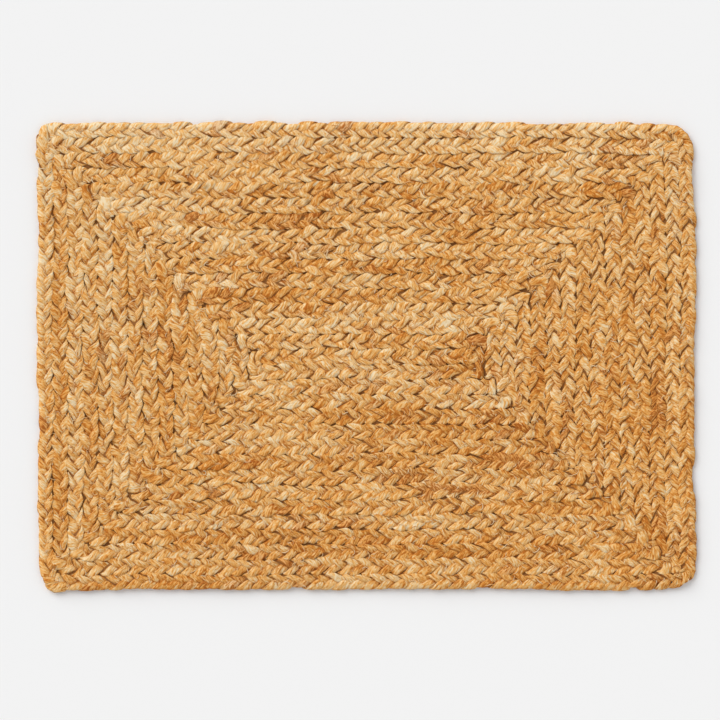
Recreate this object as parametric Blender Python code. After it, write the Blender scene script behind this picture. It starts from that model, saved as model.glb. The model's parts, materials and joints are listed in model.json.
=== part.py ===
"""Placemat of one flat jute plait, wound from its middle into a rectangle and sewn edge to edge.

Metres, +Z up. The origin is on the resting plane, under the middle of the mat. The plait starts in the
centre strip, bends down round its left end, and then runs bottom, right, top, left, round after round.
"""

import math

import bmesh
import bpy
from mathutils import Vector

# Driving dimensions
PLAIT_WIDTH = 0.01105  # from one sewn groove to the next
ROUNDS = 15  # rows above the centre strip, and as many below it
CORE_LENGTH = 0.1515  # centre strip, from its butted end to the middle of its first bend
INNER_ROUNDING = 0.003  # corner radius where the first bends are
CORNER_STEPS = 3
WELD = 0.00002
JUTE_COLOUR = (0.60, 0.37, 0.15, 1.0)
JUTE_ROUGHNESS = 0.92

# The sides in the order in which the plait runs along them.
SIDES = (
    {"name": "top", "axis": 1, "outward": 1, "heading": Vector((-1, 0))},
    {"name": "left", "axis": 0, "outward": -1, "heading": Vector((0, -1))},
    {"name": "bottom", "axis": 1, "outward": -1, "heading": Vector((1, 0))},
    {"name": "right", "axis": 0, "outward": 1, "heading": Vector((0, 1))},
)

# Radius of the outermost corner where each side starts.
OUTER_ROUNDING = {"top": 0.016, "left": 0.002, "bottom": 0.018, "right": 0.018}

# How far the mat's edge is drawn in from its widest line, at even steps along each side, corner to corner.
DRAWN_IN = {
    "top": (0.0044, 0.0018, 0.0011, 0.0007, 0.0, 0.0009, 0.0011),
    "left": (0.0, 0.0018, 0.0003, 0.0022, 0.0033),
    "bottom": (0.0, 0.0033, 0.0018, 0.0036, 0.0033, 0.0018, 0.0048),
    "right": (0.0015, 0.0023, 0.0020, 0.0, 0.0047),
}

# Section of the plait: the share of its width, the height of its face and the height of its underside.
SECTION = (
    {"across": 0.00, "face": 0.0038, "underside": 0.0012},
    {"across": 0.25, "face": 0.0054, "underside": 0.0},
    {"across": 0.50, "face": 0.0060, "underside": 0.0},
    {"across": 0.75, "face": 0.0054, "underside": 0.0},
    {"across": 1.00, "face": 0.0038, "underside": 0.0012},
)

# Sides are counted from the centre strip, side 0. The plait ends on the corner after the last one.
LAST_SIDE = 4 * ROUNDS
END_CORNER = LAST_SIDE + 5


def round_of(side):
    """How many rounds out from the centre strip a side's inner edge lies."""
    return (side + 2) // 4 if side % 4 >= 2 else side // 4


def outwardness(side):
    """0 near the centre strip and 1 at the mat's edge."""
    return max(round_of(side) - 1, 0) / ROUNDS


def steps_on(side):
    return len(DRAWN_IN[SIDES[side % 4]["name"]]) - 1


def edge_line(side, step):
    """Where a side's inner edge lies on the side's own axis, at one of its steps."""
    spec = SIDES[side % 4]
    drawn_in = DRAWN_IN[spec["name"]][step] * outwardness(side) ** 1.5
    line = spec["outward"] * ((round_of(side) - 0.5) * PLAIT_WIDTH - drawn_in)
    if spec["axis"] == 0:
        line += spec["outward"] * CORE_LENGTH / 2 - PLAIT_WIDTH / 2
    return line


def corner(side):
    """The corner, before it is rounded, where a side's inner edge starts. The plait butts on its own side 3."""
    if side == 0:
        return corner(3)
    along = corner(side - 4).x if side == END_CORNER else edge_line(side, 0)
    across = edge_line(side - 1, steps_on(side - 1))
    return Vector((along, across) if SIDES[side % 4]["axis"] == 0 else (across, along))


def rounding(side):
    """Radius of the corner where a side starts. The end corner closes on the one inside it."""
    if side < 5:
        return 0.0
    if side == END_CORNER:
        return corner(side).y - corner(side - 4).y + rounding(side - 4)
    grown = OUTER_ROUNDING[SIDES[side % 4]["name"]] - INNER_ROUNDING
    return INNER_ROUNDING + grown * outwardness(side)


def corner_points(side):
    radius = rounding(side)
    before = SIDES[(side - 1) % 4]["heading"]
    after = SIDES[side % 4]["heading"]
    centre = corner(side) + (after - before) * radius
    turns = [math.pi / 2 * step / CORNER_STEPS for step in range(CORNER_STEPS + 1)]
    return [centre + (before * math.sin(turn) - after * math.cos(turn)) * radius for turn in turns]


def side_points(side):
    """Points along a side's inner edge between its two corners."""
    start = corner(side)
    end = corner(side + 1)
    points = []
    for step in range(1, steps_on(side)):
        point = start.lerp(end, step / steps_on(side))
        point[SIDES[side % 4]["axis"]] = edge_line(side, step)
        points.append(point)
    return points


def groove_line():
    """The sewn groove as one line, wound from the centre strip out to the mat's edge."""
    points = corner_points(0)
    for side in range(END_CORNER):
        points += side_points(side) + corner_points(side + 1)
    return points


def section_at(inner, outer, level):
    """The section between two grooves: its face and its underside, levelled where the plait butts or ends."""
    fullness = 0.0 if level else min((outer - inner).length / PLAIT_WIDTH, 1.0)
    face, underside = [], []
    for row in SECTION:
        spot = inner.lerp(outer, row["across"])
        rise = (row["face"] - SECTION[0]["face"]) * fullness
        drop = (SECTION[0]["underside"] - row["underside"]) * fullness
        face.append((spot.x, spot.y, SECTION[0]["face"] + rise))
        underside.append((spot.x, spot.y, SECTION[0]["underside"] - drop))
    return face, underside


def skin(bm, rows):
    """Faces over rows of points, wound so that they face left of the way in which the rows follow."""
    grid = [[bm.verts.new(point) for point in row] for row in rows]
    for here, ahead in zip(grid, grid[1:]):
        for step in range(len(here) - 1):
            bm.faces.new((here[step], here[step + 1], ahead[step + 1], ahead[step]))


def make_plait():
    """The whole mat as one closed body: the wound plait's face, its underside and the mat's edge."""
    grooves = groove_line()
    per_round = sum(steps_on(side) - 1 + CORNER_STEPS + 1 for side in range(4))
    butted = CORNER_STEPS + 1
    stations = len(grooves) - per_round
    faces, undersides = [], []
    for station in range(stations):
        inner, outer = grooves[station], grooves[station + per_round]
        face, underside = section_at(inner, outer, station < butted)
        faces.append(face)
        undersides.append(underside[::-1])
    rim = []
    for spot in grooves[stations - 1 :]:
        rim.append([(spot.x, spot.y, SECTION[0][side]) for side in ("face", "underside")])
    bm = bmesh.new()
    for rows in (faces, undersides, rim):
        skin(bm, rows)
    bmesh.ops.remove_doubles(bm, verts=bm.verts, dist=WELD)
    bmesh.ops.triangulate(bm, faces=bm.faces)
    bmesh.ops.recalc_face_normals(bm, faces=bm.faces)
    mesh = bpy.data.meshes.new("braided_mat")
    bm.to_mesh(mesh)
    bm.free()
    return mesh


def jute():
    material = bpy.data.materials.new("jute")
    material.use_nodes = True
    shader = material.node_tree.nodes["Principled BSDF"]
    shader.inputs["Base Color"].default_value = JUTE_COLOUR
    shader.inputs["Roughness"].default_value = JUTE_ROUGHNESS
    shader.inputs["Metallic"].default_value = 0.0
    return material


def main():
    for thing in list(bpy.data.objects):
        bpy.data.objects.remove(thing)
    placemat = bpy.data.collections.new("placemat")
    bpy.context.scene.collection.children.link(placemat)
    mesh = make_plait()
    mesh.materials.append(jute())
    placemat.objects.link(bpy.data.objects.new("braided_mat", mesh))


main()
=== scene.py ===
import json
import math

import bpy
import numpy as np
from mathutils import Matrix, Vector

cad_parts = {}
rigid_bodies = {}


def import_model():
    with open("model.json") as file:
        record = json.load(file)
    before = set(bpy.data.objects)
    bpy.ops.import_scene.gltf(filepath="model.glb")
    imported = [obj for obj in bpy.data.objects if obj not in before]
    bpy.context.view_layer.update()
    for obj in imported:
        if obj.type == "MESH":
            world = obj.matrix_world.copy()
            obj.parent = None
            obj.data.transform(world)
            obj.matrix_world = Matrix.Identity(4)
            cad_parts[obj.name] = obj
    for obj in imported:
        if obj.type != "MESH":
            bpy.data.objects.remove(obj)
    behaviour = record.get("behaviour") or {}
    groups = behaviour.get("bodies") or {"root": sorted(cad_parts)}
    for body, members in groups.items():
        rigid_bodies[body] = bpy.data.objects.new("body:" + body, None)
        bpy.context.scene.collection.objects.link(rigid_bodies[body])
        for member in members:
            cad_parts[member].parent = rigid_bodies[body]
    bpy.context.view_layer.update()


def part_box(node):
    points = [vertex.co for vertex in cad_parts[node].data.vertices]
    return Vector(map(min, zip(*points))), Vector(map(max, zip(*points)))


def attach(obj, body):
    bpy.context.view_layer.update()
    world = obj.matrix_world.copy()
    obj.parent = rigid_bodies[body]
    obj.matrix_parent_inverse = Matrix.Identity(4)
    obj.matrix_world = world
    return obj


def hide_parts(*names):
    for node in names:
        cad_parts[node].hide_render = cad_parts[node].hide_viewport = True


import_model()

scene = bpy.context.scene
matLow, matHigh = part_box("braided_mat")

# Lengths are in metres. The plait winds from the centre strip outwards: top, left, bottom, right.
winding = {
    "rounds": 15,            # rows above the centre strip, and as many below it
    "bendRadius": 0.0075,    # middle line of the plait, near the centre
    "outerBendRadius": 0.0125,
    "grooveRadius": 0.0062,  # where two rows meet round a corner
    # the mat's own corners, where its top, left, bottom and right side start
    "edgeRadius": (0.016, 0.011, 0.0125, 0.014),
    "edgeFade": 1.5,         # larger keeps the uneven edge out of the inner rows
    "crowding": 1.45,        # lumps lie closer in the bends
    "pitch": 0.0102,         # from one lump to the next on the same side of the plait
    "pitchDrift": 0.07,
    "start": 0.64,           # how far the plait starts past the centre strip, in its own widths
    "endColumn": 0.56,       # from the mat's left edge to the tucked end, in the same widths
    "tail": 0.014,           # the tucked end, past the last corner
    "grid": 0.0004,          # steps along the middle line
    # from one random value to the next along the plait
    "driftLength": {"pitch": 0.09, "roll": 0.07, "warmth": 0.022, "tone": 0.12, "longTone": 0.45},
    "seed": 11,
}
# How far the edge is drawn in from its widest line, at even steps along each side, in winding order.
drawnIn = {
    "top": (0.0022, 0.0001, 0.0006, 0.0002, 0.0002, 0.0, 0.0004),
    "left": (0.0002, 0.0009, 0.0018, 0.0002, 0.0007, 0.0020, 0.0014, 0.0013, 0.0040),
    "bottom": (-0.0006, 0.0013, 0.0008, 0.0012, 0.0017, 0.0005, 0.0015),
    "right": (0.0020, 0.0006, 0.0030, 0.0014, 0.0022, 0.0010, 0.0008, 0.0022, 0.0040),
}
rowCount = 2 * winding["rounds"] + 1
plaitWidth = (matHigh.y - matLow.y) / rowCount
coreLength = (matHigh.x - matLow.x) - (rowCount - 1) * plaitWidth
coreRight = (coreLength - plaitWidth) / 2
coreLeft = -(coreLength + plaitWidth) / 2


def eased(share):
    # 0 to 1 with a soft start and a soft end
    return share * share * (3 - 2 * share)


def valueNoise(x, spacing, rng, low=-1.0, high=1.0):
    # smooth random values along x, with a new one each spacing
    at = (x - x.min()) / spacing
    knots = rng.uniform(low, high, int(at.max()) + 3)
    cell = at.astype(int)
    part = eased(at - cell)
    return knots[cell] * (1 - part) + knots[cell + 1] * part


def smoothTable(values, share):
    # a smooth line through evenly spaced values
    values = np.array(values)
    at = np.clip(share, 0, 1) * (len(values) - 1)
    cell = np.minimum(at.astype(int), len(values) - 2)
    part = eased(at - cell)
    return values[cell] * (1 - part) + values[cell + 1] * part


def ringOf(side):
    # how many rounds out a side lies, where side 0 is the centre strip
    return (side + 2) // 4 if side % 4 >= 2 else side // 4


def sideLine(side):
    # the middle line of the plait on that side
    reach = ringOf(side) * plaitWidth
    return (reach, coreLeft - reach, -reach, coreRight + reach)[side % 4]


def turnPoints():
    # where the middle line turns, before the turns are rounded
    last = 4 * winding["rounds"]
    points = [(coreRight + plaitWidth * winding["start"], 0.0)]
    for side in range(1, last + 1):
        here, before = sideLine(side), sideLine(side - 1)
        points.append((here, before) if side % 2 else (before, here))
    tailX = matLow.x + plaitWidth * winding["endColumn"]
    points.append((tailX, sideLine(last)))
    points.append((tailX, sideLine(last) - winding["outerBendRadius"] - winding["tail"]))
    return np.array(points)


def reachToGroove(angle, flat, radius):
    # from a bend's centre to a groove that has its own corner radius
    along, across = np.cos(angle), np.sin(angle)
    offset = flat - radius
    middle = (along + across) * offset
    arc = middle + np.sqrt(np.maximum(middle ** 2 - 2 * offset ** 2 + radius ** 2, 0))
    straight = flat / np.maximum(along, across)
    return np.where(np.minimum(along, across) * straight < offset, straight, arc)


def windPlait():
    # the plait's middle line at a fine step, with its outward way and the room on both sides of it
    points = turnPoints()
    legs = np.diff(points, axis=0)
    lengths = np.hypot(legs[:, 0], legs[:, 1])
    ways = legs / lengths[:, None]
    xy, out, roomOut, roomIn, bend, rim = [], [], [], [], [], []
    half = plaitWidth / 2
    inner, outer = winding["bendRadius"], winding["outerBendRadius"]
    rimStart = 4 * winding["rounds"] - 3    # from here on the plait is the mat's own edge
    used = 0.0
    for leg in range(len(legs)):
        wide = inner + (outer - inner) * (ringOf(leg) / winding["rounds"]) ** 2
        last = leg == len(legs) - 1
        radius = 0.0 if last else min(wide, lengths[leg] / 2, lengths[leg + 1] / 2)
        way = ways[leg]
        outward = np.array((way[1], -way[0]))
        run = lengths[leg] - used - radius
        count = max(int(run / winding["grid"]), 1)
        step = np.linspace(0, run, count, endpoint=False)
        xy.append(points[leg] + way * (used + step)[:, None])
        out.append(np.repeat(outward[None], count, 0))
        roomOut.append(np.full(count, half))
        roomIn.append(np.full(count, half))
        bend.append(np.zeros(count))
        rim.append(np.full(count, float(leg >= rimStart)))
        if last:
            break
        after = ways[leg + 1]
        centre = points[leg + 1] + (after - way) * radius
        count = max(int(radius * math.pi / 2 / winding["grid"]), 4)
        angle = np.linspace(0, math.pi / 2, count, endpoint=False)
        ray = way * np.sin(angle)[:, None] - after * np.cos(angle)[:, None]
        xy.append(centre + ray * radius)
        out.append(ray)
        edge = winding["edgeRadius"][(leg + 1) % 4]
        groove = edge if leg >= rimStart else winding["grooveRadius"]
        farEdge, nearEdge = radius + half, max(radius - half, 1e-5)
        roomOut.append(reachToGroove(angle, farEdge, min(groove, farEdge)) - radius)
        roomIn.append(radius - reachToGroove(angle, nearEdge, min(winding["grooveRadius"], nearEdge)))
        bend.append(np.sin(2 * angle))
        rim.append(np.full(count, float(leg >= rimStart)))
        used = radius
    xy = np.concatenate(xy)
    along = np.concatenate(([0], np.cumsum(np.hypot(*np.diff(xy, axis=0).T))))
    return {
        "s": along,
        "xy": xy,
        "out": np.concatenate(out),
        "roomOut": np.concatenate(roomOut) / half,
        "roomIn": np.concatenate(roomIn) / half,
        "bend": np.concatenate(bend),
        "rim": np.concatenate(rim),
    }


def unevenEdge(xy):
    # draws the rows in towards the middle as the real edge is, less and less away from the edge
    x, y = xy[..., 0], xy[..., 1]
    leftToRight = (x - matLow.x) / (matHigh.x - matLow.x)
    lowToHigh = (y - matLow.y) / (matHigh.y - matLow.y)
    reach = winding["rounds"] * plaitWidth + plaitWidth / 2
    fade = winding["edgeFade"]
    overRight = np.clip((x - coreRight) / reach, 0, 1) ** fade
    overLeft = np.clip((coreLeft - x) / (reach - plaitWidth), 0, 1) ** fade
    overTop = np.clip(y / reach, 0, 1) ** fade
    overLow = np.clip(-y / reach, 0, 1) ** fade
    moved = xy.copy()
    moved[..., 0] -= overRight * smoothTable(drawnIn["right"], lowToHigh)
    moved[..., 0] += overLeft * smoothTable(drawnIn["left"], 1 - lowToHigh)
    moved[..., 1] -= overTop * smoothTable(drawnIn["top"], 1 - leftToRight)
    moved[..., 1] += overLow * smoothTable(drawnIn["bottom"], leftToRight)
    return moved


route = windPlait()
rng = np.random.default_rng(winding["seed"])
drift = winding["driftLength"]
tightness = 1 + (winding["crowding"] - 1) * route["bend"]
tightness *= 1 + winding["pitchDrift"] * valueNoise(route["s"], drift["pitch"], rng)
turnRate = 2 * math.pi / (3 * winding["pitch"]) * tightness
steps = np.diff(route["s"], prepend=0)
route["phase"] = np.cumsum(turnRate * steps)
route["rate"] = turnRate
route["roll"] = valueNoise(route["s"], drift["roll"], rng)
route["warmth"] = valueNoise(route["s"], drift["warmth"], rng, -0.9, 0.9)
route["tone"] = valueNoise(route["s"], drift["tone"], rng) * 0.5
route["tone"] += valueNoise(route["s"], drift["longTone"], rng) * 0.4
print(f"plait: {route['s'][-1]:.2f} m, {route['phase'][-1] / (2 * math.pi):.0f} repeats")


def onRoute(s, name):
    values = route[name]
    if values.ndim == 1:
        return np.interp(s, route["s"], values)
    return np.stack([np.interp(s, route["s"], values[:, axis]) for axis in range(values.shape[1])], -1)


def makeObject(name, points, faces):
    # faces is an array of faces with equally many sides
    mesh = bpy.data.meshes.new(name)
    sides = faces.shape[1]
    mesh.vertices.add(len(points))
    mesh.vertices.foreach_set("co", np.asarray(points, np.float32).ravel())
    mesh.loops.add(faces.size)
    mesh.loops.foreach_set("vertex_index", faces.astype(np.int32).ravel())
    mesh.polygons.add(len(faces))
    mesh.polygons.foreach_set("loop_start", np.arange(0, faces.size, sides, dtype=np.int32))
    mesh.update(calc_edges=True)
    mesh.validate()
    mesh.shade_smooth()
    thing = bpy.data.objects.new(name, mesh)
    scene.collection.objects.link(thing)
    return thing


def addAttribute(thing, name, values):
    kind, key = ("FLOAT", "value") if values.ndim == 1 else ("FLOAT_VECTOR", "vector")
    layer = thing.data.attributes.new(name, kind, "POINT")
    layer.data.foreach_set(key, values.astype(np.float32).ravel())


def plug(socket, value):
    # links a wire into a socket, or sets the socket's own value
    if isinstance(value, Wire):
        value.tree.links.new(value.socket, socket)
    else:
        socket.default_value = value


class Wire:
    # what comes out of a socket, for sums written as Python
    def __init__(self, tree, socket):
        self.tree = tree
        self.socket = socket

    def maths(self, operation, *values):
        node = self.tree.nodes.new("ShaderNodeMath")
        node.operation = operation
        for target, value in zip(node.inputs, values):
            plug(target, value)
        return Wire(self.tree, node.outputs[0])

    def __add__(self, other):
        return self.maths("ADD", self, other)

    def __radd__(self, other):
        return self.maths("ADD", other, self)

    def __sub__(self, other):
        return self.maths("SUBTRACT", self, other)

    def __rsub__(self, other):
        return self.maths("SUBTRACT", other, self)

    def __mul__(self, other):
        return self.maths("MULTIPLY", self, other)

    def __rmul__(self, other):
        return self.maths("MULTIPLY", other, self)

    def size(self):
        return self.maths("ABSOLUTE", self)

    def clamp(self):
        kept = self.maths("ADD", self, 0.0)
        kept.socket.node.use_clamp = True
        return kept


class Finish:
    # a material and its tree
    def __init__(self, name):
        self.material = bpy.data.materials.new(name)
        self.material.use_nodes = True
        self.tree = self.material.node_tree
        self.shader = self.tree.nodes["Principled BSDF"]

    def node(self, kind, settings=None, sockets=None, output=0):
        node = self.tree.nodes.new("ShaderNode" + kind)
        for key, value in (settings or {}).items():
            if key == "stops":
                ramp = node.color_ramp
                while len(ramp.elements) < len(value):
                    ramp.elements.new(0.5)
                for element, (place, colour) in zip(ramp.elements, value):
                    element.position = place
                    element.color = colour
            else:
                setattr(node, key, value)
        for key, value in (sockets or {}).items():
            plug(node.inputs[key], value)
        return Wire(self.tree, node.outputs[output])

    def attribute(self, name, output="Fac"):
        return self.node("Attribute", {"attribute_name": name}, output=output)

    def noise(self, vector, scale, detail, rough):
        sockets = {"Vector": vector, "Scale": scale, "Detail": detail, "Roughness": rough}
        return self.node("TexNoise", {}, sockets)

    def grain(self, vector, stretch, detail, rough):
        # noise drawn out along the fibres
        drawnOut = self.node("VectorMath", {"operation": "MULTIPLY"}, {0: vector, 1: stretch})
        return self.noise(drawnOut, 1.0, detail, rough)

    def mix(self, factor, first, second):
        return self.node("Mix", {"data_type": "RGBA"}, {0: factor, 6: first, 7: second}, output=2)

    def surface(self, **sockets):
        for key, value in sockets.items():
            plug(self.shader.inputs[key.replace("_", " ")], value)


jute = {
    "bleached": (0.88, 0.700, 0.440, 1),
    "pale": (0.87, 0.600, 0.300, 1),
    "straw": (0.82, 0.445, 0.139, 1),
    "honey": (0.71, 0.294, 0.054, 1),
    "amber": (0.50, 0.155, 0.019, 1),
    "ramp": ((0.0, "amber"), (0.28, "honey"), (0.55, "straw"), (0.88, "pale"), (1.0, "bleached")),
    "middleTone": 0.388,     # where most of the jute lies on that ramp
    "rustPale": (0.76, 0.32, 0.065, 1),
    "rust": (0.36, 0.090, 0.010, 1),
    "rustFrom": 0.92,        # less for more rusty places
    "rustShare": 0.85,
    # painted shade for the gaps between the strands, and below it a darker painted shade, deeper down
    "hollowShade": (0.54, 0.18, 0.030, 1),
    "hollowShadeFrom": 0.59,      # of the lift, which is 1 at the mat's face and 0 in the gaps: below it the gaps get painted shade
    "shade": (0.22, 0.064, 0.012, 1),
    "shadeFrom": 0.2,
    # nearly black at the dark places: darker fibres on the face, and painted shade deep in the gaps
    "dark": (0.045, 0.020, 0.010, 1),
    # how fast the noise changes along the fibres and across them
    "runsGrain": (70.0, 260.0, 260.0),
    "fineGrain": (220.0, 1250.0, 1250.0),
    "coarseGrain": (80.0, 450.0, 450.0),
    "hairGrain": (130.0, 850.0, 850.0),
    "hairFineness": 14.0,
    "paleHairs": (0.46, 0.28),       # level of the noise that they follow, and strength
    "darkHairs": (0.58, 0.34),
    "patchScale": 26.0,
    "fibreDepth": 1.6,       # of the bumps, in mm
    "roughness": 0.78,
    "specular": 0.12,
}


def juteFinish(name):
    finish = Finish(name)
    place = finish.attribute("place", "Vector")
    tone = finish.attribute("tone")
    warmth = finish.attribute("warmth")
    lift = finish.attribute("lift")
    dark = finish.attribute("dark")
    patches = finish.noise(finish.node("TexCoord", output="Object"), jute["patchScale"], 3.0, 0.6)
    runs = finish.grain(place, jute["runsGrain"], 2.0, 0.5)
    fine = finish.grain(place, jute["fineGrain"], 2.0, 0.65)
    coarse = finish.grain(place, jute["coarseGrain"], 2.0, 0.5)
    lines = finish.grain(place, jute["hairGrain"], 1.0, 0.5)

    def hairs(level, strength):
        # thin lines where the noise passes a level
        return (1.0 - (lines - level).size() * jute["hairFineness"]).clamp() * strength

    single = hairs(*jute["paleHairs"]) - hairs(*jute["darkHairs"])
    fibres = (fine - 0.5) * 1.75 + (coarse - 0.5) * 0.5 + single
    # the lift paints the jute paler on the mat's face and darker down in the gaps between the strands:
    # painted shade
    straw = jute["middleTone"] + fibres + (runs - 0.5) * 0.6 + tone * 0.18 + (lift - 0.6) * 0.4
    stops = [(at, jute[colour]) for at, colour in jute["ramp"]]
    colour = finish.node("ValToRGB", {"stops": stops}, {0: straw})
    rusty = patches * 0.5 + warmth * 0.6 + runs * 0.5 - fibres * 0.25 - jute["rustFrom"]
    rustColour = finish.mix((fibres * 2.4 + 0.5).clamp(), jute["rust"], jute["rustPale"])
    colour = finish.mix((rusty * 2.4).clamp() * jute["rustShare"], colour, rustColour)
    # painted shade: where the lift is low, in the gaps between the strands, the jute turns to the shade
    # colours
    colour = finish.mix(((jute["hollowShadeFrom"] - lift) * 2.0).clamp(), colour, jute["hollowShade"])
    colour = finish.mix(((jute["shadeFrom"] - lift) * 4.0).clamp(), colour, jute["shade"])
    # the dark places: darker fibres on the face, nearly black painted shade deeper in the gaps
    colour = finish.mix((dark * (1.5 - lift)).clamp(), colour, jute["dark"])
    depth = jute["fibreDepth"] / 1000
    height = fine * 0.7 + coarse * 0.7
    bump = finish.node("Bump", {}, {"Strength": 1.0, "Distance": depth, "Height": height})
    finish.surface(Base_Color=colour, Roughness=jute["roughness"], Normal=bump)
    finish.surface(Specular_IOR_Level=jute["specular"])
    return finish.material


juteMaterial = juteFinish("jute")

# Angles of a strand's repeat are in degrees, and across the plait plus is outward.
strand = {
    "sway": 0.0054,          # of its middle, to each side of the plait
    "edgeSway": 0.0053,      # the same on the mat's own edge
    "foldAt": 93.0,          # where it turns back
    "folding": 12.0,         # before and after that, it folds
    "foldShare": 0.87,       # how far out the fold starts
    "foldSoftness": 6.0,
    "middleAt": 75.0,        # from a fold to the plait's middle: less than 90 crosses faster on top
    "overlap": 1.03,         # its width along the row, as a share of the way from one lump to the next
    "rise": 0.0010,          # over and under the others
    "dive": 0.5,             # less for a sharper dive
    "early": 0.35,           # in radians: it comes up before it turns back at the plait's edge
    "halfThickness": 0.00158,
    "squareness": 0.62,      # 1 for an oval section, less for a fuller one
    "shingle": 0.00015,      # the side that was laid last lies higher
    "crown": 0.0002,         # lower towards the plait's edges
    "bulge": (0.0017, 0.0015),   # of each fold, past the plait's outer and inner edge
    "free": 0.98,            # share of the plait's half width over which the strands aren't squeezed
    "lap": -0.00010,         # how much higher its outer edge lies than its middle: here a little lower
    "reach": (1.46, 1.42),   # how far into the next row they can still press, outwards and inwards
    "lean": 0.12,            # the lumps on the outer side are wider than those on the inner side
    "pinch": 0.02,           # thinner where two rows are sewn together
    # on the mat's own edge, all as shares
    "edgeOverlap": 0.16,     # the lumps lie closer
    "edgeFlat": 0.74,        # they bulge less
    "edgeReach": 0.10,       # they reach farther out
    "edgeFree": 0.04,        # they are squeezed sooner
    "edgePinch": 0.30,       # they are thinner
    "edgePinchFrom": 0.4,    # from here outwards
    "middleHeight": 0.0030,
    "roll": 0.07,            # slow turning of the whole plait about its own line
    # waves in all the rows together: how many, how far they move them, and their length
    "wander": ((7, 0.00025, (0.04, 0.11)), (14, 0.00026, (0.012, 0.032))),
    "wanderFade": 0.03,      # from the mat's edge inwards
    "sizeSpread": 0.13,
    "thicknessSpread": 0.12,
    "swayJitter": 0.00065,
    "heightJitter": 0.00028,
    "slip": 0.26,            # along the plait, as a share of a quarter turn
    "tailTaper": 1.9,        # how far from its end it thins out, in lengths of the tucked end
    "tailThin": 0.28,        # what is left of its thickness at the very end
    "tailSink": 0.0014,
    "underside": 0.0006,     # below this height they are flattened, so that none goes into the floor
    "deep": 0.0022,          # below the mat's face, where the gaps get their painted shade
    "twist": -35.0,          # of the fibres, radians per metre
    "fibreRadius": 0.0030,   # of the strand that the fibres are laid round
    "ownFibres": 31.0,       # so far apart in the noise that no strand repeats another's fibres
    "steps": 24,             # sections in a full repeat
    "gather": 0.4,           # closer together where the strand folds and dives
    "sides": 12,
    "pieces": 3,             # each strand is cut into so many pieces, at even steps along it
    # random tone and warmth: spread from lump to lump, and slow drift with its length in radians
    "toneNoise": (0.5, 0.5, 5.0),
    "warmthNoise": (0.4, 0.4, 7.0),
    "toneDrift": 0.17,       # paler towards the mat's upper left
    "topTone": 1.3,          # and palest along its top edge
    # where the jute is rusty along a row: its middle and how far it reaches along X and Y
    "rustPlaces": (
        (-0.021, 0.108, 0.030, 0.004), (-0.103, 0.117, 0.008, 0.005), (-0.090, 0.143, 0.008, 0.005),
        (-0.076, 0.150, 0.012, 0.004), (0.079, -0.097, 0.060, 0.004), (-0.213, 0.047, 0.004, 0.008),
        (-0.156, 0.017, 0.005, 0.008), (-0.222, -0.024, 0.004, 0.008), (-0.187, -0.116, 0.008, 0.006),
        (0.140, -0.020, 0.005, 0.014), (0.205, -0.050, 0.004, 0.020), (0.010, -0.135, 0.020, 0.004),
    ),
    # places where the jute turns nearly black, and how big those places are: on the face its fibres
    # darken somewhat, deep in the gaps between strands it is painted shade
    "darkPlaces": (
        (-0.117, 0.124), (-0.043, 0.113), (-0.031, 0.105), (-0.012, 0.108),
        (-0.004, 0.065), (-0.012, 0.059), (-0.192, 0.000), (-0.164, -0.065),
        (-0.163, 0.024), (0.138, -0.103), (0.098, -0.128), (-0.060, -0.030),
    ),
    "darkSize": 0.0020,
    "seed": 5,
}


def lumpNoise(phase, rng, spread=1.0):
    # one random value a lump, changing while the strand is under the others
    at = (phase - phase.min()) / math.pi + 0.25
    knots = rng.normal(0, spread, int(at.max()) + 3).clip(-2.2 * spread, 2.2 * spread)
    below = np.floor(at).astype(int)
    share = eased(np.clip((at - below - 0.5) * 1.8 + 0.5, 0, 1))
    return knots[below] * (1 - share) + knots[below + 1] * share


def wander(xy):
    # slow waves that move neighbouring rows together and fade towards the mat's edge
    rng = np.random.default_rng(strand["seed"] + 900)
    x, y = xy[..., 0], xy[..., 1]
    inside = np.clip((matHigh.x - np.abs(x)) / strand["wanderFade"], 0, 1)
    inside = inside * np.clip((matHigh.y - np.abs(y)) / strand["wanderFade"], 0, 1)
    moved = xy.copy()
    for count, distance, lengths in strand["wander"]:
        for wave in range(count):
            turned, way, start = rng.uniform(0, 2 * math.pi, 3)
            rate = 2 * math.pi / rng.uniform(*lengths)
            phase = (x * math.cos(turned) + y * math.sin(turned)) * rate + start
            moved[..., 0] += inside * distance * math.cos(way) * np.sin(phase)
            moved[..., 1] += inside * distance * math.sin(way) * np.sin(phase)
    return moved


def crossingWave(turn):
    # -1 to 1 across the plait: straight from edge to edge, folded over at both
    first, near, share = strand["foldAt"], strand["folding"], strand["foldShare"]
    middle = strand["middleAt"]
    knots = first + np.array([-180, near - 180, middle - 180, -near, 0, near, middle, 180 - near, 180])
    degrees = np.arange(-180, 540)
    places = [-1, -share, 0, share, 1, share, 0, -share, -1]
    straight = np.interp((degrees - first + 180) % 360 + first - 180, knots, places)
    soft = np.exp(-0.5 * (np.arange(-40, 41) / strand["foldSoftness"]) ** 2)
    smooth = np.convolve(straight, soft / soft.sum(), "same")[180:541]
    return np.interp(np.degrees(turn) % 360, np.arange(361), smooth / smooth.max())


def onEdge(s):
    # 1 along the outermost round
    return onRoute(s, "rim")


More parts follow.
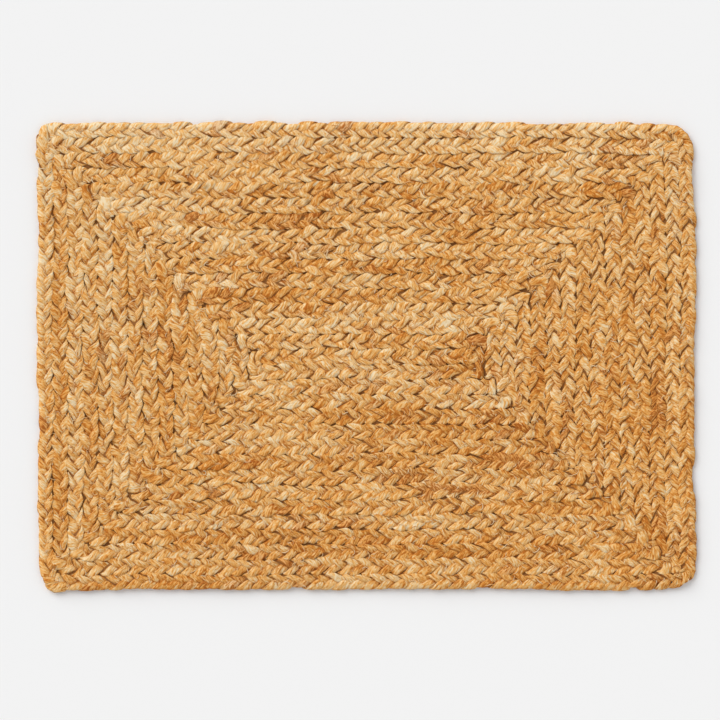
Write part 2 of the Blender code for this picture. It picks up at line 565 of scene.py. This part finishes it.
def squeezed(flat):
    # the same strands, pressed as the rows beside them leave them room
    share = flat[..., 1] / (plaitWidth / 2)
    share = share - strand["lean"] * np.clip(1 - share ** 2, 0, 1)
    size, outermost = np.abs(share), onEdge(flat[..., 0]) * (share > 0)
    free = strand["free"] - strand["edgeFree"] * outermost
    left = np.where(share > 0, *strand["reach"]) + strand["edgeReach"] * outermost - free
    size = np.minimum(size, free) + left * np.tanh(np.maximum(size - free, 0) / left)
    thin = 1 - strand["pinch"] * eased(np.clip((size - free) / left, 0, 1))
    flat = flat.copy()
    flat[..., 1] = np.sign(share) * size * plaitWidth / 2
    flat[..., 2] = strand["middleHeight"] + (flat[..., 2] - strand["middleHeight"]) * thin
    start = strand["edgePinchFrom"]
    near = np.clip((size - start) / (1 - start), 0, 1) * outermost
    flat[..., 2] *= 1 - strand["edgePinch"] * near * near
    return flat


def laidOut(flat):
    # from along, across and height in a straight plait to the place on the mat
    outward = onRoute(flat[..., 0], "out")
    outward /= np.linalg.norm(outward, axis=-1)[..., None]
    room = np.where(flat[..., 1] > 0, onRoute(flat[..., 0], "roomOut"), onRoute(flat[..., 0], "roomIn"))
    plan = onRoute(flat[..., 0], "xy") + outward * (flat[..., 1] * room)[..., None]
    return np.concatenate([wander(unevenEdge(plan)), flat[..., 2:]], -1)


def slowTone(s):
    # a little darker towards the mat's lower right, and palest along its top edge
    xy = onRoute(s, "xy")
    high, right = xy[:, 1] / matHigh.y, xy[:, 0] / matHigh.x
    edge = onEdge(s) * np.clip(high, 0, 1) ** 8
    return onRoute(s, "tone") + strand["toneDrift"] * (high - right) + strand["topTone"] * edge


def makeStrand(index):
    rng = np.random.default_rng(strand["seed"] + 101 * index)
    total = route["phase"][-1]
    count = int(total / (2 * math.pi) * strand["steps"])
    phase = np.linspace(0.0, total, count)
    turn = phase + 2 * math.pi * index / 3
    gathered = strand["gather"] / 4 * np.sin(4 * (turn - math.radians(strand["foldAt"])))
    phase, turn = np.clip(phase - gathered, 0, total), turn - gathered
    jitter = lumpNoise(turn, rng) * strand["slip"] * 0.5
    here = np.interp(np.clip(phase + jitter, 0, total), route["phase"], route["s"])
    size = 1 + strand["sizeSpread"] * lumpNoise(turn, rng)
    thick = 1 + strand["thicknessSpread"] * lumpNoise(turn, rng)
    wave = crossingWave(turn)
    outermost = onEdge(here) * (wave > 0)
    reach = strand["sway"] + (strand["edgeSway"] - strand["sway"]) * outermost
    sway = reach * wave + strand["swayJitter"] * lumpNoise(turn, rng) * np.abs(wave)
    # the plait starts under the row it butts against, and its end thins out and is tucked in
    tail = np.clip((route["s"][-1] - here) / (winding["tail"] * strand["tailTaper"]), 0, 1)
    thin = strand["tailThin"] + (1 - strand["tailThin"]) * tail ** 0.8
    # its section lies along the row, so that the folds close up to each other on the plait's edge
    angle = np.arange(strand["sides"]) * 2 * math.pi / strand["sides"]
    wide = (np.sign(np.cos(angle)) * np.abs(np.cos(angle)) ** strand["squareness"])[None]
    tall = (np.sign(np.sin(angle)) * np.abs(np.sin(angle)) ** strand["squareness"])[None]
    spacing = 2 * math.pi / 3 / onRoute(here, "rate")
    closer = 1 + strand["edgeOverlap"] * outermost * wave
    halfLength = spacing / 2 * strand["overlap"] * size * thin * closer
    # it dives along the edge of the strand that covers it
    level = wave[:, None] ** 2
    lead = wide * strand["overlap"] * math.pi / 6 * np.clip(1 - level, 0, 1)
    over = -np.sin(2 * (turn[:, None] + lead) + strand["early"])
    over = np.sign(over) * np.abs(over) ** strand["dive"]
    height = strand["middleHeight"] + strand["heightJitter"] * lumpNoise(turn, rng)
    height += onRoute(here, "roll") * strand["roll"] * sway - strand["tailSink"] * (1 - tail) ** 2
    halfThick = strand["halfThickness"] * thick * thin
    # along, across and height, as if the plait lay straight
    shape = np.zeros((count, strand["sides"], 3))
    shape[..., 0] = here[:, None] + wide * halfLength[:, None]
    outer, inner = strand["bulge"]
    outer = outer * (1 - strand["edgeFlat"] * outermost)
    bulge = np.where(sway > 0, outer, -inner)[:, None] * level ** 2
    shape[..., 1] = sway[:, None] + bulge * (1 - 2 * wide ** 2)
    shape[..., 2] = height[:, None] + strand["rise"] * over + tall * halfThick[:, None]
    above = np.clip(over, 0, 1)
    shape[..., 2] -= above * (strand["shingle"] * wide + strand["crown"] * level)
    shape[..., 2] += strand["lap"] * shape[..., 1] / (plaitWidth / 2)
    points = laidOut(squeezed(shape))
    x, y, low = points[..., 0], points[..., 1], points[..., 2]
    soft = strand["underside"]
    points[..., 2] = np.where(low < soft, soft * np.exp(np.minimum(low - soft, 0) / soft), low)
    rusty, dark = np.zeros(low.shape), np.zeros(low.shape)
    for midX, midY, alongX, alongY in strand["rustPlaces"]:
        rusty += np.exp(-((x - midX) / alongX) ** 2 - ((y - midY) / alongY) ** 2)
    for midX, midY in strand["darkPlaces"]:
        dark += np.exp(-((x - midX) ** 2 + (y - midY) ** 2) / strand["darkSize"] ** 2)
    # the fibres run along the strand's middle line and turn slowly about it
    centre = laidOut(np.stack([here, sway, height + strand["rise"] * over[:, 0]], -1))
    ahead = np.gradient(centre, axis=0)
    ahead /= np.linalg.norm(ahead, axis=1)[:, None]
    length = np.concatenate(([0], np.cumsum(np.linalg.norm(np.diff(centre, axis=0), axis=1))))
    rolled = (length * strand["twist"])[:, None]
    place = np.stack([
        np.repeat(length[:, None] + strand["ownFibres"] * index, strand["sides"], 1),
        (wide * np.cos(rolled) - tall * np.sin(rolled)) * strand["fibreRadius"],
        (wide * np.sin(rolled) + tall * np.cos(rolled)) * strand["fibreRadius"],
    ], -1)
    lump, slow, spacing = strand["toneNoise"]
    tone = lumpNoise(turn, rng, lump) + slow * valueNoise(phase, spacing, rng) + slowTone(here)
    lump, slow, spacing = strand["warmthNoise"]
    warmth = lumpNoise(turn, rng, lump) + slow * valueNoise(phase, spacing, rng)
    warmth += onRoute(here, "warmth")
    return {
        "points": points,
        "place": place,
        "ahead": ahead,
        "tone": np.repeat(tone[:, None], strand["sides"], 1),
        "warmth": np.repeat(warmth[:, None], strand["sides"], 1) + rusty,
        "dark": dark,
    }


class Relief:
    # the height of the highest and the lowest strand over each small square of the mat
    def __init__(self, points, square=0.0008):
        self.square = square
        self.low = points[:, :2].min(0) - 3 * square
        self.size = np.ceil((points[:, :2].max(0) - self.low) / square).astype(int) + 4
        cells = self.cellsOf(points)
        self.top = np.zeros(self.size.prod())
        np.maximum.at(self.top, cells, points[:, 2])
        self.bottom = np.full(self.size.prod(), 1.0)
        np.minimum.at(self.bottom, cells, points[:, 2])
        self.top = self.spread(self.top, np.max)
        self.bottom = self.spread(self.bottom, np.min)

    def cellsOf(self, points):
        spot = np.round((points[..., :2] - self.low) / self.square).astype(int)
        spot = np.clip(spot, 0, self.size - 1)
        return spot[..., 0] * self.size[1] + spot[..., 1]

    def spread(self, grid, pick):
        # takes the highest or lowest of nine squares, then evens it out
        grid = grid.reshape(self.size)
        for step in (pick, np.mean):
            shifted = [np.roll(grid, (i, j), (0, 1)) for i in (-1, 0, 1) for j in (-1, 0, 1)]
            grid = step(shifted, axis=0)
        return grid.ravel()

    def sink(self, points):
        # how far a point lies below the face or above the underside
        cells = self.cellsOf(points)
        return np.minimum(self.top[cells] - points[..., 2], points[..., 2] - self.bottom[cells])


def strandPiece(name, made, span):
    rings = made["points"][span]
    count, sides = rings.shape[:2]
    base = (np.arange(count - 1) * sides)[:, None]
    side = np.arange(sides)[None]
    after = (side + 1) % sides
    corners = (base + side, base + after, base + sides + after, base + sides + side)
    thing = makeObject(name, rings.reshape(-1, 3), np.stack(corners, -1).reshape(-1, 4))
    addAttribute(thing, "place", made["place"][span].reshape(-1, 3))
    for key in ("lift", "tone", "warmth", "dark"):
        addAttribute(thing, key, made[key][span].ravel())
    thing.data.materials.append(juteMaterial)
    return thing


made = [makeStrand(index) for index in range(3)]
relief = Relief(np.concatenate([each["points"].reshape(-1, 3) for each in made]))
strands = []
for index, each in enumerate(made):
    # the lift is 1 on the mat's face and 0 this deep in the gaps; it sets where the jute gets painted
    # shade
    each["lift"] = 1 - np.clip(relief.sink(each["points"]) / strand["deep"], 0, 1)
    cuts = np.linspace(0, len(each["points"]) - 1, strand["pieces"] + 1).astype(int)
    for part, (first, last) in enumerate(zip(cuts, cuts[1:])):
        name = f"strand_{'abc'[index]}_{part + 1}"
        strands.append(strandPiece(name, each, slice(first, last + 1)))
triangles = sum(len(thing.data.polygons) * 2 for thing in strands)
print(f"strands: {len(strands)} pieces, {triangles} triangles")

stray = {
    "count": 3000,
    "length": (0.0025, 0.009),
    "thickness": (0.00024, 0.00042),
    "tip": 0.35,             # share of the thickness that is left at both ends
    "arch": 0.0006,
    "sink": 0.0003,          # of both ends, into the strands
    "curl": 260.0,           # how much they bend, 1 over metres
    "straying": 0.65,        # from the strand's own way, in radians
    "joints": 6,
    "liftFrom": 0.8,         # they start only where the strands' lift is above this
    "startAbove": 0.75,      # and above this share of the mat's height
    "overEdge": 0.0025,      # none of them lies over a spot of the mat lower than this
    "palePart": 0.75,        # the others are dark
    "tones": (1.9, -2.0),    # of the pale and the dark ones
    "warmth": (-0.2, 0.6),   # middle and spread
    "grainLength": 0.004,
    "seed": 23,
}


def makeStrays():
    rng = np.random.default_rng(stray["seed"])
    spots, ways = [], []
    for each in made:
        rows, sides = np.nonzero(each["lift"] > stray["liftFrom"])
        upper = each["points"][rows, sides, 2] > matHigh.z * stray["startAbove"]
        rows, sides = rows[upper], sides[upper]
        chosen = rng.choice(len(rows), stray["count"] // 3, replace=False)
        spots.append(each["points"][rows[chosen], sides[chosen], :2])
        ways.append(each["ahead"][rows[chosen]])
    spots, ways = np.concatenate(spots), np.concatenate(ways)
    count, joints = len(spots), stray["joints"]
    heading = np.arctan2(ways[:, 1], ways[:, 0]) + rng.normal(0, stray["straying"], count)
    shortest, longest = stray["length"]
    long = rng.uniform(0, 1, count) ** 2 * (longest - shortest) + shortest
    bend = rng.normal(0, stray["curl"], (count, 1)) + rng.normal(0, stray["curl"], (count, joints))
    step = (long / joints)[:, None]
    turned = heading[:, None] + np.cumsum(bend, 1) * step
    line = np.zeros((count, joints + 1, 3))
    line[:, 1:, 0] = np.cumsum(np.cos(turned) * step, 1)
    line[:, 1:, 1] = np.cumsum(np.sin(turned) * step, 1)
    line[..., :2] += spots[:, None]
    share = np.linspace(0, 1, joints + 1)[None]
    hump = np.sin(math.pi * share)
    arch = np.abs(rng.normal(0, stray["arch"], count))[:, None] * hump
    surface = relief.top[relief.cellsOf(line)]
    line[..., 2] = surface + arch - stray["sink"] * (1 - hump)
    inside = (surface > stray["overEdge"]).all(axis=1)
    line, count = line[inside], inside.sum()
    taper = stray["tip"] + (1 - stray["tip"]) * hump ** 0.5
    thick = rng.uniform(*stray["thickness"], count)[:, None] * taper
    ahead = np.gradient(line, axis=1)
    ahead /= np.linalg.norm(ahead, axis=2)[..., None]
    across = np.cross(ahead, (0, 0, 1))
    raised = np.cross(across, ahead)
    # three-sided tubes
    angle = np.arange(3) * 2 * math.pi / 3 + math.pi / 2
    points = line[:, :, None] + thick[..., None, None] * (
        np.cos(angle)[:, None] * across[:, :, None] + np.sin(angle)[:, None] * raised[:, :, None])
    base = (np.arange(count) * (joints + 1) * 3)[:, None, None] + (np.arange(joints) * 3)[None, :, None]
    side = np.arange(3)[None, None]
    after = (side + 1) % 3
    faces = np.stack([base + side, base + 3 + side, base + 3 + after, base + after], -1).reshape(-1, 4)
    thing = makeObject("stray_fibres", points.reshape(-1, 3), faces)
    perFibre = (joints + 1) * 3
    place = np.zeros((count, joints + 1, 3, 3))
    place[..., 0] = share[..., None] * stray["grainLength"]
    place += rng.uniform(0, 9, (count, 1, 1, 3))
    tone = np.where(rng.random(count) < stray["palePart"], *stray["tones"])
    addAttribute(thing, "place", place.reshape(-1, 3))
    addAttribute(thing, "lift", np.ones(count * perFibre))
    addAttribute(thing, "dark", np.zeros(count * perFibre))
    addAttribute(thing, "tone", np.repeat(tone, perFibre))
    addAttribute(thing, "warmth", np.repeat(rng.normal(*stray["warmth"], count), perFibre))
    thing.data.materials.append(juteMaterial)
    print(f"stray fibres: {count}, {len(faces) * 2} triangles")
    return thing


strays = makeStrays()

# the solid mat, thinned and drawn in, closes the gaps between the strands; its dark brown is painted
# shade, the shaded inside of the jute
body = {
    "squeeze": 0.35,
    "inset": 0.0016,
    "level": 0.0031,
    "darkShadeColour": (0.20, 0.07, 0.014, 1),
    "lightShadeColour": (0.40, 0.17, 0.04, 1),
    "grainScale": 900.0,
    "roughness": 0.95,
}


def makeBody():
    node = bpy.data.objects["braided_mat"]
    mesh = node.data.copy()
    mesh.name = "plait_body"
    points = np.zeros(len(mesh.vertices) * 3, np.float32)
    mesh.vertices.foreach_get("co", points)
    points = points.reshape(-1, 3)
    for axis in (0, 1):
        half = (matHigh[axis] - matLow[axis]) / 2
        points[:, axis] *= 1 - body["inset"] / half
    points[:, 2] = body["level"] + (points[:, 2] - body["level"]) * body["squeeze"]
    mesh.vertices.foreach_set("co", points.ravel())
    mesh.update()
    mesh.materials.clear()
    thing = bpy.data.objects.new("plait_body", mesh)
    scene.collection.objects.link(thing)
    finish = Finish("jute_inside_painted_shade")
    grain = finish.noise(finish.node("TexCoord", output="Object"), body["grainScale"], 3.0, 0.6)
    # painted shade: the jute between the strands is coloured darker than the strands themselves
    colour = finish.mix(grain, body["darkShadeColour"], body["lightShadeColour"])
    finish.surface(Base_Color=colour, Roughness=body["roughness"])
    mesh.materials.append(finish.material)
    print(f"plait body: {len(mesh.polygons)} triangles")
    return thing


plaitBody = makeBody()

studio = {
    "floorSize": 8.0,
    "floorColour": (0.90, 0.90, 0.90, 1),
    "floorRoughness": 0.9,
    "photoScale": 0.7296e-3,         # metres to a pixel of the 720-pixel frame
    "photoSize": 720,
    "matMiddle": (366.75, 356.5),    # where the mat's middle lies in that frame
    "cameraHeight": 2.0,
    "sensor": 36.0,
    "viewDepth": 20.0,
    "lampStrength": 2.00,
    "lampWidth": 50.0,               # degrees, larger for softer shadows
    "lampTilt": 55.0,                # degrees from straight above
    "lampTurn": 132.0,               # where it stands, in degrees from +X
    "ambient": 0.627,
}


def makeStudio():
    bpy.ops.mesh.primitive_plane_add(size=studio["floorSize"], location=(0, 0, 0))
    floor = bpy.context.object
    floor.name = "floor"
    finish = Finish("pale_floor")
    finish.surface(Base_Color=studio["floorColour"], Roughness=studio["floorRoughness"])
    floor.data.materials.append(finish.material)
    lamp = bpy.data.lights.new("key", "SUN")
    lamp.energy = studio["lampStrength"]
    lamp.angle = math.radians(studio["lampWidth"])
    light = bpy.data.objects.new("key", lamp)
    tilt, turn = math.radians(studio["lampTilt"]), math.radians(studio["lampTurn"])
    aside = math.sin(tilt)
    towards = Vector((aside * math.cos(turn), aside * math.sin(turn), math.cos(tilt)))
    light.rotation_euler = towards.to_track_quat("Z", "Y").to_euler()
    light.location = towards
    scene.collection.objects.link(light)
    world = bpy.data.worlds.new("studio")
    world.use_nodes = True
    world.node_tree.nodes["Background"].inputs["Color"].default_value = (1, 1, 1, 1)
    world.node_tree.nodes["Background"].inputs["Strength"].default_value = studio["ambient"]
    scene.world = world
    lens = bpy.data.cameras.new("camera")
    lens.sensor_width = studio["sensor"]
    wide = studio["photoScale"] * studio["photoSize"]
    lens.lens = studio["sensor"] * (studio["cameraHeight"] - matHigh.z) / wide
    lens.clip_end = studio["viewDepth"]
    camera = bpy.data.objects.new("camera", lens)
    half = studio["photoSize"] / 2
    offX = (half - studio["matMiddle"][0]) * studio["photoScale"]
    offY = (studio["matMiddle"][1] - half) * studio["photoScale"]
    camera.location = (offX, offY, studio["cameraHeight"])
    scene.collection.objects.link(camera)
    scene.camera = camera
    scene.view_settings.view_transform = "Standard"
    print(f"studio: camera {studio['cameraHeight']:.1f} m above the floor, lens {lens.lens:.0f} mm")


makeStudio()

for thing in strands + [strays]:
    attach(thing, "root")
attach(plaitBody, "root")
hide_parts("braided_mat")
